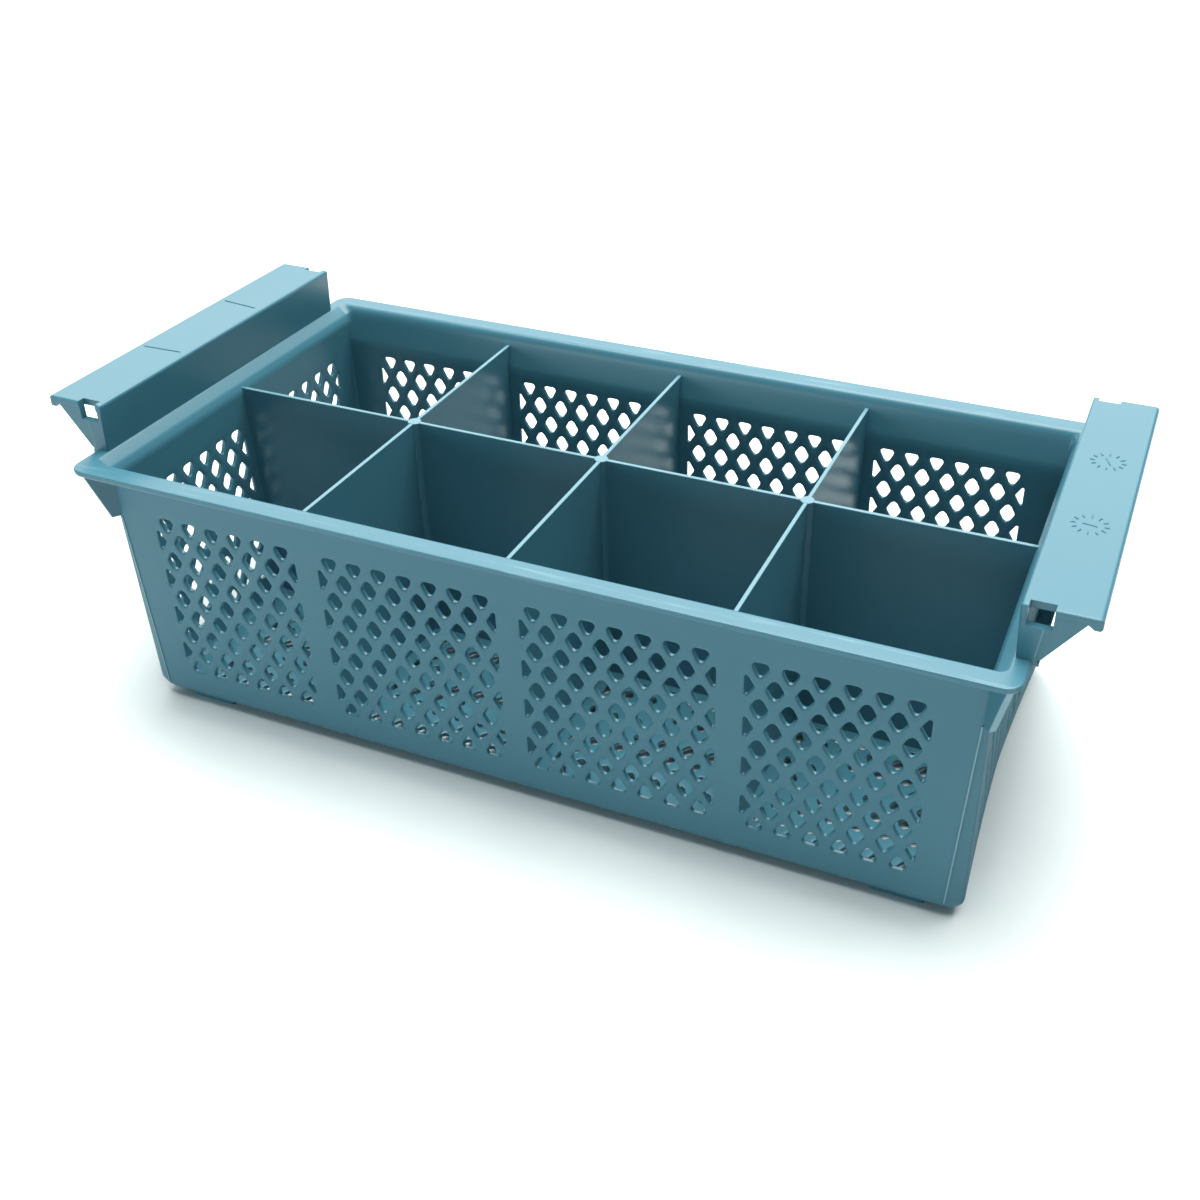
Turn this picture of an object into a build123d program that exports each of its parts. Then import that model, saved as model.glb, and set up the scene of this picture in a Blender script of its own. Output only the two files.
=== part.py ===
"""Dishwasher cutlery basket, one plastic moulding with eight compartments.

Millimetres, +Z up. The long side runs along X, the two handles stand at its ends, and the
origin lies under the middle of the basket, on the surface that its feet stand on.
"""
import os
from math import cos, hypot, radians, tan

from build123d import *

# Overall sizes
OVERALL_LENGTH = 425.0      # across the outer edges of the two handle plates
RIM_DEPTH = 201.2           # outside of the rim flange
RIM_HEIGHT = 120.8          # top of the rim above the floor
HANDLE_HEIGHT = 142.0       # top of the handle plates above the floor

# Body shell
WALL = 2.2
BASE = 2.4                  # floor plate
LONG_DRAFT = 0.74           # lean of the long walls, in degrees
END_DRAFT = 0.2             # lean of the end walls, in degrees
CORNER_ROUND = 5.0          # outside of the upright corners
BASE_CHAMFER = 3.5          # outer edges of the base

# Rim
RIM_THICKNESS = 2.4
RIM_END_OVERHANG = 9.0      # rim beyond the foot of the end walls
RIM_SIDE_OVERHANG = 13.4    # rim beyond the foot of the long walls
RIM_CORNER = 9.0            # plan radius of the flange's outer corners
RIM_ROLL = 9.0              # roll of the long walls' inner top edge into the flange
END_SLOPE_HEIGHT = 4.5      # sloping strip inside each handle
END_SLOPE_RUN = 5.4

# Dividers
DIVIDER = 1.8
DIVIDER_DROP = 5.4          # divider tops below the rim
CROSS_PITCH = 90.3          # between the three cross dividers
POST_WIDTH = 5.8            # eight-sided post at each crossing, across flats
SEAT = 0.5                  # how far dividers and feet run into what carries them

# Diamond mesh
MESH_PITCH = 18.0           # wanted spacing of the diamonds along a wall
MESH_ROW = 12.8             # wanted spacing of the rows
BASE_PITCH = 34.0
BASE_ROW = 17.0
OPEN_WIDTH = 0.58           # diamond width as a share of the column spacing
OPEN_HEIGHT = 0.48          # diamond height as a share of two rows
PANEL_GAP = 5.6             # panel edge from the middle of a divider
PANEL_LONG_END = 19.6       # outer panel edge of a long wall from the body's end
PANEL_END_SIDE = 13.8       # outer panel edge of an end wall from the body's side
PANEL_BOTTOM = 19.8         # panel foot above the floor
PANEL_TOP = 24.0            # panel head below the rim

# Handles
HANDLE_WIDTH = 164.4        # across the two end plates of a handle
HANDLE_OVERHANG = 20.0      # plate's outer edge beyond the rim's end
HANDLE_SETBACK = 6.5        # inner face of the handle back from the rim's end
HANDLE_WALL = 2.6
HANDLE_PLATE = 2.8
HANDLE_LEAN = 1.2           # how far the handle's wall leans in from rim to plate
PLATE_CORNER = 3.0
PLATE_NIB = 5.5             # turned-down edge of the plate
PLATE_NIB_DROP = 2.0
BRACE_REACH = 20.5          # head of the end plate's sloping edge from the handle's inner face
NOTCH_START = 2.0           # notch in each plate end, from the handle's inner face
NOTCH_LENGTH = 8.0
NOTCH_DEPTH = 8.2

# Corner fins
FIN = 2.0
FIN_DROP = 25.8             # foot of the fin below the rim
FIN_FOOT = 2.6              # width of the fin's flat foot
FIN_INSET = 0.6             # head of the fin from the rim's corner

# Feet
FOOT_HEIGHT = 3.0
FOOT_LENGTH = 22.0
FOOT_WIDTH = 8.5
FOOT_FROM_END = 14.5
FOOT_FROM_SIDE = 4.5

# Heights and half sizes worked out from the above
rim_under = RIM_HEIGHT - RIM_THICKNESS
divider_top = RIM_HEIGHT - DIVIDER_DROP
floor_top = FOOT_HEIGHT + BASE
rim_length = OVERALL_LENGTH - 2 * HANDLE_OVERHANG
body_length = rim_length - 2 * RIM_END_OVERHANG
body_depth = RIM_DEPTH - 2 * RIM_SIDE_OVERHANG
handle_in = rim_length / 2 - HANDLE_SETBACK


def lean(draft, height):
    """Return how far a wall has moved out at a height above the underside of the base."""
    return tan(radians(draft)) * (height - FOOT_HEIGHT)


def body_half(height, inset=0.0):
    """Return the body's half length and half depth at a height, less an inset."""
    half_length = body_length / 2 + lean(END_DRAFT, height) - inset
    half_depth = body_depth / 2 + lean(LONG_DRAFT, height) - inset
    return half_length, half_depth


def drafted_box(low, high, inset=0.0):
    """Return the body's plain drafted box between two heights, less an inset on its sides."""
    (low_length, low_depth), (high_length, high_depth) = body_half(low, inset), body_half(high, inset)
    along = Polygon((-low_length, low), (low_length, low), (high_length, high), (-high_length, high), align=None)
    across = Polygon((-low_depth, low), (low_depth, low), (high_depth, high), (-high_depth, high), align=None)
    return extrude(Plane.XZ * along, RIM_DEPTH, both=True) & extrude(Plane.YZ * across, rim_length, both=True)


def upright_edges(box):
    """Return the four corner edges of a drafted box."""
    level_faces = box.faces().sort_by(Axis.Z)
    return box.edges() - level_faces[0].edges() - level_faces[-1].edges()


def shell():
    """Return the plain shell: drafted walls, rounded corners, eased base, flange and open mouth."""
    body = fillet(upright_edges(drafted_box(FOOT_HEIGHT, rim_under)), CORNER_ROUND)
    body = chamfer(body.faces().sort_by(Axis.Z)[0].edges(), BASE_CHAMFER)
    cavity = fillet(upright_edges(drafted_box(floor_top, RIM_HEIGHT, WALL)), CORNER_ROUND - WALL)
    flange = extrude(Pos(0, 0, rim_under) * RectangleRounded(rim_length, RIM_DEPTH, RIM_CORNER), RIM_THICKNESS)
    return body + flange + rim_backing() - cavity - mouth()


def rim_backing():
    """Return what keeps the wall's thickness under the rolled edges and the sloping strips."""
    half_length, half_depth = body_half(rim_under)
    cove = RIM_ROLL - WALL
    square = Pos(half_depth + cove / 2, rim_under - cove / 2) * Rectangle(cove + WALL, cove)
    bead = square - Pos(half_depth + cove, rim_under - cove) * Circle(cove)
    beads = extrude(Plane.YZ * (bead + mirror(bead, Plane.YZ)), half_length - CORNER_ROUND, both=True)
    wedge = Polygon(
        (half_length - WALL, rim_under - END_SLOPE_HEIGHT - WALL),
        (half_length + END_SLOPE_RUN, rim_under),
        (half_length - WALL, rim_under),
        align=None,
    )
    wedges = extrude(Plane.XZ * (wedge + mirror(wedge, Plane.YZ)), half_depth - CORNER_ROUND, both=True)
    return beads + wedges


def mouth():
    """Return what the rolled long edges and the sloping end strips take from the rim."""
    half_length, half_depth = body_half(RIM_HEIGHT, WALL)
    roll_foot = RIM_HEIGHT - RIM_ROLL
    slope_foot = RIM_HEIGHT - END_SLOPE_HEIGHT
    roll = Pos(0, RIM_HEIGHT - RIM_ROLL / 2) * Rectangle(2 * (half_depth + RIM_ROLL), RIM_ROLL)
    roll -= [Pos(side * (half_depth + RIM_ROLL), roll_foot) * Circle(RIM_ROLL) for side in (-1, 1)]
    slope = Polygon(
        (-half_length, slope_foot),
        (half_length, slope_foot),
        (half_length + END_SLOPE_RUN, RIM_HEIGHT),
        (-half_length - END_SLOPE_RUN, RIM_HEIGHT),
        align=None,
    )
    return extrude(Plane.YZ * roll, half_length, both=True) + extrude(Plane.XZ * slope, half_depth, both=True)


def mesh_panel(width, height, pitch, row):
    """Return the diamonds of one panel, cut to halves along its four edges."""
    columns = max(2, round(width / pitch))
    pairs = max(1, round(height / row / 2))
    step = width / columns
    rise = height / pairs
    half_width = OPEN_WIDTH * step / 2
    half_height = OPEN_HEIGHT * rise / 2
    diamond = Polygon((half_width, 0), (0, half_height), (-half_width, 0), (0, -half_height), align=None)
    main_rows = GridLocations(step, rise, columns, pairs + 1)
    between_rows = GridLocations(step, rise, columns + 1, pairs)
    diamonds = Sketch() + [place * diamond for place in [*main_rows, *between_rows]]
    return diamonds & Rectangle(width, height)


def spans(first, last):
    """Return the middle and width of a panel between two edges."""
    return (first + last) / 2, last - first


def mesh():
    """Return the cutters of the diamond mesh in the four walls and the base."""
    long_panels = [
        spans(PANEL_GAP, CROSS_PITCH - PANEL_GAP),
        spans(CROSS_PITCH + PANEL_GAP, body_length / 2 - PANEL_LONG_END),
    ]
    end_panel, end_width = spans(PANEL_GAP, body_depth / 2 - PANEL_END_SIDE)
    height_middle, height = spans(PANEL_BOTTOM, RIM_HEIGHT - PANEL_TOP)
    through_walls = max(rim_length, RIM_DEPTH)
    cutters = []
    end_mesh = mesh_panel(end_width, height, MESH_PITCH, MESH_ROW)
    for side in (-1, 1):
        panel = Plane.YZ * (Pos(side * end_panel, height_middle) * end_mesh)
        cutters.append(extrude(panel, through_walls, both=True))
        for middle, width in long_panels:
            wall_mesh = mesh_panel(width, height, MESH_PITCH, MESH_ROW)
            panel = Plane.XZ * (Pos(side * middle, height_middle) * wall_mesh)
            cutters.append(extrude(panel, through_walls, both=True))
            base_mesh = mesh_panel(width, end_width, BASE_PITCH, BASE_ROW)
            for row in (-1, 1):
                panel = Pos(side * middle, row * end_panel, 0) * base_mesh
                cutters.append(extrude(panel, floor_top + BASE))
    return cutters


def dividers():
    """Return the long divider, the three cross dividers and the posts where they meet."""
    half_length, half_depth = body_half(floor_top, WALL - SEAT)
    lift = Pos(0, 0, floor_top - SEAT)
    height = divider_top - floor_top + SEAT
    walls = [extrude(lift * Rectangle(2 * half_length, DIVIDER), height)]
    for middle in (-CROSS_PITCH, 0, CROSS_PITCH):
        place = lift * Pos(middle, 0)
        walls.append(extrude(place * Rectangle(DIVIDER, 2 * half_depth), height))
        walls.append(extrude(place * RegularPolygon(POST_WIDTH / 2, 8, major_radius=False), height))
    return walls


def handle():
    """Return the handle at the +X end: leaning wall, plate with nib, end plates and notches."""
    plate_out = OVERALL_LENGTH / 2
    foot_in = handle_in + HANDLE_LEAN
    plate_under = HANDLE_HEIGHT - HANDLE_PLATE
    hook = Polygon(
        (foot_in, rim_under),
        (foot_in + HANDLE_WALL, rim_under),
        (handle_in + HANDLE_WALL, plate_under),
        (plate_out - PLATE_NIB, plate_under),
        (plate_out - PLATE_NIB / 2, plate_under - PLATE_NIB_DROP),
        (plate_out, plate_under - PLATE_NIB_DROP),
        (plate_out, HANDLE_HEIGHT),
        (handle_in, HANDLE_HEIGHT),
        align=None,
    )
    brace = Polygon(
        (foot_in, rim_under),
        (rim_length / 2, rim_under),
        (handle_in + BRACE_REACH, plate_under),
        (handle_in, plate_under),
        align=None,
    )
    half_width = HANDLE_WIDTH / 2
    grip = extrude(Plane.XZ * hook, half_width, both=True)
    outer_edges = grip.edges().filter_by(Axis.Z).group_by(Axis.X)[-1]
    grip = fillet(outer_edges, PLATE_CORNER)
    notch = Box(NOTCH_LENGTH, HANDLE_WALL, NOTCH_DEPTH, align=(Align.MIN, Align.CENTER, Align.MAX))
    for side in (-1, 1):
        middle = side * (half_width - HANDLE_WALL / 2)
        grip += Pos(0, middle, 0) * extrude(Plane.XZ * brace, HANDLE_WALL / 2, both=True)
        grip -= Pos(handle_in + NOTCH_START, middle, HANDLE_HEIGHT) * notch
    return grip


def corner_fin():
    """Return the slanting web under the rim's corner at +X +Y."""
    foot = RIM_HEIGHT - FIN_DROP
    half_length, half_depth = body_half(foot, CORNER_ROUND)
    inside_corner = RIM_CORNER * (1 - cos(radians(45))) + FIN_INSET
    reach_x = rim_length / 2 - inside_corner - half_length
    reach_y = RIM_DEPTH / 2 - inside_corner - half_depth
    reach = hypot(reach_x, reach_y)
    web = Polygon(
        (0, foot),
        (CORNER_ROUND + FIN_FOOT, foot),
        (reach, rim_under),
        (reach, rim_under + RIM_THICKNESS / 2),
        (0, rim_under + RIM_THICKNESS / 2),
        align=None,
    )
    upright = Plane(origin=(half_length, half_depth, 0), x_dir=(reach_x, reach_y, 0), z_dir=(reach_y, -reach_x, 0))
    return extrude(upright * web, FIN / 2, both=True)


def feet():
    """Return the four low feet under the base corners."""
    middle_x = body_length / 2 - FOOT_FROM_END - FOOT_LENGTH / 2
    middle_y = body_depth / 2 - FOOT_FROM_SIDE - FOOT_WIDTH / 2
    pad = Rectangle(FOOT_LENGTH, FOOT_WIDTH)
    places = GridLocations(2 * middle_x, 2 * middle_y, 2, 2)
    return [extrude(place * pad, FOOT_HEIGHT + SEAT) for place in places]


def basket():
    """Return the whole moulding as one solid."""
    fin = corner_fin()
    fin_pair = [fin, mirror(fin, Plane.XZ)]
    fins = fin_pair + [mirror(web, Plane.YZ) for web in fin_pair]
    grip = handle()
    body = shell() - mesh()
    return body + dividers() + feet() + fins + [grip, mirror(grip, Plane.YZ)]


os.makedirs("parts", exist_ok=True)
export_step(basket(), "parts/basket.step")
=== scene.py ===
"""Dishwasher cutlery basket: the dressed moulding, its plastic, the studio and the camera.

Sizes are in millimetres and become metres when a mesh is made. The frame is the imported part's own:
+X along the basket, +Y to the back, +Z up, with the origin on the surface that the feet stand on.
"""
from __future__ import annotations

import logging
import math
from dataclasses import dataclass, replace
from enum import Enum
from typing import Any, Callable

import bpy
import numpy as np
from mathutils import Matrix, Vector

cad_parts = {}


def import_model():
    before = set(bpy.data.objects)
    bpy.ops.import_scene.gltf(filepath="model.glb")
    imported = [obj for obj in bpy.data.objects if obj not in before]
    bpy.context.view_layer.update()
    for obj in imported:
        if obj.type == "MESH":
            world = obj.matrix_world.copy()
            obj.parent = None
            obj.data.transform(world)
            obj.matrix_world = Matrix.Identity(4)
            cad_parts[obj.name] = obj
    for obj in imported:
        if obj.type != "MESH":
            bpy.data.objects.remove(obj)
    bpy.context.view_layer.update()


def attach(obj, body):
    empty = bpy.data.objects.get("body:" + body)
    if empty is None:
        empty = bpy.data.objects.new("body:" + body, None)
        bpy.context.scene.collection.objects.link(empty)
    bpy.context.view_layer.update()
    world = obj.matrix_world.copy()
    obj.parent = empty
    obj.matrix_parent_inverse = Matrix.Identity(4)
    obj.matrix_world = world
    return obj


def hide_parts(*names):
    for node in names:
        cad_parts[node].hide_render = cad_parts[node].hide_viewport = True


LOG = logging.getLogger("basket")
MM = 0.001
MERGE_DIGITS = 3
EDGE_SEGMENTS = 2
SHARP_EDGE = math.radians(30)
RING_POINTS = 12
Array = np.ndarray
Pair = tuple[float, float]
Triple = tuple[float, float, float]
Outline = tuple[Pair, ...]
Place = Callable[[Array, Array, Array], Array]


class Side(Enum):
    """The four walls, each with its running direction and its outward direction in plan."""

    FRONT = ((1.0, 0.0), (0.0, -1.0))
    RIGHT = ((0.0, 1.0), (1.0, 0.0))
    BACK = ((-1.0, 0.0), (0.0, 1.0))
    LEFT = ((0.0, -1.0), (-1.0, 0.0))

    @property
    def is_long(self) -> bool:
        """Tell whether this is one of the two long walls."""
        return self in (Side.FRONT, Side.BACK)


class Hand(Enum):
    """The two handles, each with the sign of its X."""

    RIGHT = 1
    LEFT = -1


class Joining(Enum):
    """What a helper form does to the grip, in Blender's words for it."""

    JOINED = "UNION"
    CUT = "DIFFERENCE"


class Sheet:
    """Collects grids, rings and prisms as arrays and turns them into one mesh."""

    def __init__(self) -> None:
        """Start with no points and no faces."""
        self.points: list[Array] = []
        self.faces: list[Array] = []
        self.count = 0

    def add(self, points: Array, faces: list[Array]) -> None:
        """Add points with faces that count from the first of them.

        Args:
            points: An array whose last axis is x, y, z.
            faces: Arrays of corner numbers, one row for each face.
        """
        flat = np.asarray(points, float).reshape(-1, 3)
        self.points.append(flat)
        self.faces.extend(face + self.count for face in faces)
        self.count += len(flat)

    @staticmethod
    def quads(shape: tuple[int, int, int], closed: bool = True) -> Array:
        """Return the quads between neighbouring rows of points.

        Args:
            shape: How many cells, rows in each cell and points in each row.
            closed: Whether a row's last point joins its first.

        Returns:
            Corner numbers, four for each quad.
        """
        number = np.arange(math.prod(shape)).reshape(shape)
        after = np.roll(number, -1, axis=2)
        if not closed:
            number, after = number[..., :-1], after[..., :-1]
        corners = [number[:, :-1], after[:, :-1], after[:, 1:], number[:, 1:]]
        return np.stack(corners, axis=-1).reshape(-1, 4)

    def grid(self, points: Array, closed: bool = False) -> None:
        """Add a grid whose faces look along column direction times row direction.

        Args:
            points: Rows by columns by three.
            closed: Whether the last column joins the first.
        """
        self.add(points, [self.quads((1, *points.shape[:2]), closed)])

    def rings(self, points: Array) -> None:
        """Add bands between the rings of many like cells, from the first ring to the last.

        Args:
            points: Cells by rings by points by three, each ring closed.
        """
        self.add(points, [self.quads(points.shape[:3])])

    def loft(self, rings: Array) -> None:
        """Add a closed form through outlines, which run the left way round seen from the last one.

        Args:
            rings: Outlines by points by three.
        """
        count, size = rings.shape[:2]
        cap = np.arange(size)[None]
        self.add(rings, [self.quads((1, count, size)), cap[:, ::-1], cap + (count - 1) * size])

    def prism(self, low: Array, high: Array) -> None:
        """Add a closed prism between two outlines, which run the left way round seen from the high end.

        Args:
            low: Outline of one end, points by three.
            high: Outline of the other end, with as many points.
        """
        self.loft(np.stack([low, high]))

    def bend(self, moved: Callable[[Array], Array]) -> None:
        """Move every point by a function of points."""
        self.points = [moved(points) for points in self.points]

    def at_corners(self, other: Sheet) -> None:
        """Add another sheet, made at +X +Y, at all four corners, with its faces looking outwards.

        Args:
            other: The sheet to mirror.
        """
        for across, deep in ((1, 1), (-1, 1), (-1, -1), (1, -1)):
            points = np.concatenate(other.points) * np.array([across, deep, 1])
            self.add(points, [face[:, ::-1] if across != deep else face for face in other.faces])

    def mesh(self, name: str) -> bpy.types.Mesh:
        """Merge equal points and make the mesh, in metres.

        Args:
            name: Name of the mesh.

        Returns:
            The mesh, with smooth faces.
        """
        points = np.concatenate(self.points)
        near = np.round(points, MERGE_DIGITS)
        _, first, merged = np.unique(near, axis=0, return_index=True, return_inverse=True)
        merged = merged.reshape(-1)
        corners: list[list[int]] = []
        for faces in self.faces:
            number = merged[faces]
            doubled = number == np.roll(number, -1, axis=1)
            whole = ~doubled.any(axis=1)
            corners.extend(number[whole].tolist())
            if number.shape[1] == 4:
                single = doubled.sum(axis=1) == 1
                corners.extend(number[single][~doubled[single]].reshape(-1, 3).tolist())
        mesh = bpy.data.meshes.new(name)
        mesh.from_pydata((points[first] * MM).tolist(), [], corners)
        mesh.validate()
        mesh.polygons.foreach_set("use_smooth", np.ones(len(mesh.polygons), bool))
        mesh.update()
        return mesh

    def piece(self, name: str, bevel: float = 0.0) -> bpy.types.Object:
        """Make the object, with rounded edges where asked and normals that favour the large faces.

        Args:
            name: Name of the piece.
            bevel: Width of the edges' rounding, or nothing.

        Returns:
            The new object, at the origin.
        """
        piece = bpy.data.objects.new(name, self.mesh(name))
        bpy.context.scene.collection.objects.link(piece)
        if bevel:
            edges = piece.modifiers.new("edges", "BEVEL")
            edges.width, edges.segments = bevel * MM, EDGE_SEGMENTS
            edges.limit_method, edges.angle_limit = "ANGLE", SHARP_EDGE
        normals = piece.modifiers.new("normals", "WEIGHTED_NORMAL")
        normals.keep_sharp = True
        return piece


def unit(vectors: Array) -> Array:
    """Return vectors with their length made one."""
    return vectors / np.linalg.norm(vectors, axis=1, keepdims=True)


def outward(ring: Array) -> Array:
    """Return each point's way out of a ring that runs the left way round, square to its neighbours' line."""
    along = np.roll(ring, -1, axis=0) - np.roll(ring, 1, axis=0)
    return unit(np.stack([along[:, 1], -along[:, 0]], axis=-1))


def rounded(corners: Array, radius: float, steps: int) -> Array:
    """Round a convex ring: at each corner an arc of that radius, tangent to both sides.

    Args:
        corners: Ring of corner points, the left way round.
        radius: Radius of every arc.
        steps: Points on each arc.

    Returns:
        The rounded ring, as corners times steps points.
    """
    before = unit(np.roll(corners, 1, axis=0) - corners)
    after = unit(np.roll(corners, -1, axis=0) - corners)
    half = 0.5 * np.arccos(np.clip((before * after).sum(axis=1), -1, 1))
    centre = corners + unit(before + after) * (radius / np.sin(half))[:, None]
    start = corners + before * (radius / np.tan(half))[:, None] - centre
    end = corners + after * (radius / np.tan(half))[:, None] - centre
    first = np.arctan2(start[:, 1], start[:, 0])
    sweep = np.arctan2(end[:, 1], end[:, 0]) - first
    sweep = (sweep + np.pi) % (2 * np.pi) - np.pi
    angle = first[:, None] + sweep[:, None] * np.linspace(0, 1, steps)
    arc = radius * np.stack([np.cos(angle), np.sin(angle)], axis=-1)
    return (centre[:, None] + arc).reshape(-1, 2)


def eased(start: Array, corner: Array, end: Array, steps: int) -> Array:
    """Return points of a parabola that leaves one line at start and meets another at end.

    Args:
        start: Where the curve starts.
        corner: Where the two lines would meet.
        end: Where the curve ends.
        steps: How many points, with both ends.

    Returns:
        The points, in order.
    """
    share = np.linspace(0, 1, steps)[:, None]
    return (1 - share) ** 2 * start + 2 * share * (1 - share) * corner + share ** 2 * end


@dataclass(frozen=True)
class DiamondMesh:
    """Panels of diamond holes in a flat wall, with half diamonds along every panel edge.

    A panel is tiled by rhombic cells, each with a rounded diamond in its middle. The cells of the first
    and last rows, and those on the two side edges, are halves with a margin beyond their straight side.
    """

    pitch: float
    row: float
    foot: float
    steps: int
    panels: tuple[tuple[float, int], ...]
    thickness: float
    margin: float = 4.6
    hole_width: float = 7.45
    hole_height: float = 12.4
    hole_round: float = 1.75
    hole_edge: float = 0.45
    hole_taper: float = 0.2
    level_hole: Triple = (4.25, 1.5, 7.0)
    level_round: float = 1.6
    upright_hole: Triple = (6.5, 0.3, 3.7)
    upright_round: float = 0.8

    @property
    def head(self) -> float:
        """Height of the last row's straight sides."""
        return self.foot + self.steps * self.row

    def panel_edges(self, panel: tuple[float, int]) -> Pair:
        """Return where a panel starts and ends along the wall.

        Args:
            panel: Its middle and its columns.

        Returns:
            Both places.
        """
        middle, columns = panel
        half = columns * self.pitch / 2
        return middle - half, middle + half

    def across_lines(self) -> Array:
        """Return the lines along the wall that the cells of all panels meet their borders on.

        Returns:
            The places, in order.
        """
        lines = []
        for panel in self.panels:
            start, end = self.panel_edges(panel)
            lines += [[start - self.margin], np.linspace(start, end, panel[1] + 1), [end + self.margin]]
        return np.concatenate(lines)

    def up_lines(self) -> Array:
        """Return the lines up the wall that the cells meet their borders on."""
        inner = np.linspace(self.foot, self.head, self.steps // 2 + 1)
        return np.concatenate([[self.foot - self.margin], inner, [self.head + self.margin]])

    def full_cell(self) -> tuple[Array, ...]:
        """Return the border of a whole cell, and its hole's four rings from outside to inside.

        Returns:
            Five rings of twelve points.
        """
        turns = np.array([[1.0, 0], [0, 1], [-1, 0], [0, -1]])
        border = turns * [self.pitch / 2, self.row]
        before, after = np.roll(border, 1, axis=0), np.roll(border, -1, axis=0)
        thirds = np.stack([border + (before - border) / 3, border, border + (after - border) / 3], axis=1)
        hole = turns * [self.hole_width / 2, self.hole_height / 2]
        return thirds.reshape(-1, 2), *self.hole(hole, self.hole_round)

    def half_cell(self, along: float, deep: float, hole: Triple, radius: float) -> tuple[Array, ...]:
        """Return the border of a half cell whose straight side faces up, and its hole's four rings.

        Args:
            along: Half the straight side.
            deep: From the straight side to the cell's tip.
            hole: Half the hole's straight side, that side's rise above the cell's own, and the tip's depth.
            radius: Rounding of the hole's corners.

        Returns:
            Five rings of twelve points.
        """
        left, tip, right = np.array([-along, 0.0]), np.array([0.0, -deep]), np.array([along, 0.0])
        high_left, high_right = np.array([-along, self.margin]), np.array([along, self.margin])
        border = np.stack([
            high_left, high_left, left, left + (tip - left) / 3,
            left + (tip - left) * 2 / 3, tip, tip, tip + (right - tip) / 3,
            tip + (right - tip) * 2 / 3, right, high_right, high_right,
        ])
        reach, rise, tip_depth = hole
        return border, *self.hole(np.array([[-reach, rise], [0.0, -tip_depth], [reach, rise]]), radius)

    def hole(self, corners: Array, radius: float) -> tuple[Array, Array, Array, Array]:
        """Return a tapered hole as rounded rings: eased edge, mouth, inner mouth and inner eased edge.

        Args:
            corners: The hole's corners, the left way round.
            radius: Their rounding.

        Returns:
            The four rings.
        """
        ring = rounded(corners, radius, RING_POINTS // len(corners))
        out = outward(ring)
        inner = ring - out * self.hole_taper
        return ring + out * self.hole_edge, ring, inner, inner + out * self.hole_edge

    def cells(self) -> list[tuple[Array, tuple[Array, ...]]]:
        """Return each kind of cell with its centres, over all panels.

        Returns:
            Pairs of centres and rings, for whole cells, heads, feet, left and right edges.
        """
        quarter = np.array([[0.0, 1.0], [-1.0, 0.0]])
        level = self.half_cell(self.pitch / 2, self.row, self.level_hole, self.level_round)
        upright = self.half_cell(self.row, self.pitch / 2, self.upright_hole, self.upright_round)
        whole, heads, feet, lefts, rights = [], [], [], [], []
        for panel in self.panels:
            start, end = self.panel_edges(panel)
            between = start + self.pitch * (np.arange(panel[1]) + 0.5)
            on_line = start + self.pitch * np.arange(1, panel[1])
            for step in range(1, self.steps):
                level_here = self.foot + step * self.row
                across = on_line if step % 2 else between
                whole.append(np.stack([across, np.full(len(across), level_here)], axis=-1))
                if step % 2:
                    lefts.append([[start, level_here]])
                    rights.append([[end, level_here]])
            heads.append(np.stack([between, np.full(len(between), self.head)], axis=-1))
            feet.append(np.stack([between, np.full(len(between), self.foot)], axis=-1))
        return [
            (np.concatenate(whole), self.full_cell()),
            (np.concatenate(heads), level),
            (np.concatenate(feet), tuple(-ring for ring in level)),
            (np.concatenate(lefts), tuple(ring @ quarter for ring in upright)),
            (np.concatenate(rights), tuple(-ring @ quarter for ring in upright)),
        ]

    def build(self, sheet: Sheet, place: Place) -> None:
        """Add all cells, and the plain strips between the panels, on both faces of the wall.

        Args:
            sheet: Where the faces go.
            place: Gives the points for places along the wall, up the wall and below its outer face.
        """
        edge, thick = self.hole_edge, self.thickness
        depths = np.array([0, 0, edge, thick - edge, thick, thick])
        for centres, (border, *hole) in self.cells():
            flat = np.stack([border, *hole, border])
            spots = centres[:, None, None] + flat[None]
            deep = np.broadcast_to(depths[None, :, None], spots.shape[:3])
            sheet.rings(place(spots[..., 0], spots[..., 1], deep))
        up = self.up_lines()
        for before, after in zip(self.panels[:-1], self.panels[1:]):
            strip = [self.panel_edges(before)[1] + self.margin, self.panel_edges(after)[0] - self.margin]
            self.plain(sheet, place, np.array(strip), up)
        for panel in self.panels:
            start, end = self.panel_edges(panel)
            for across in ([start - self.margin, start], [end, end + self.margin]):
                for rise in (up[:2], up[-2:]):
                    self.plain(sheet, place, np.array(across), rise)

    def plain(self, sheet: Sheet, place: Place, across: Array, up: Array) -> None:
        """Add an unpierced patch on both faces of the wall.

        Args:
            sheet: Where the faces go.
            place: Gives the points.
            across: Lines along the wall.
            up: Lines up the wall.
        """
        spots_across, spots_up = np.meshgrid(across, up)
        sheet.grid(place(spots_across, spots_up, np.zeros_like(spots_up)))
        sheet.grid(place(spots_across, spots_up, np.full_like(spots_up, self.thickness))[:, ::-1])


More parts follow.
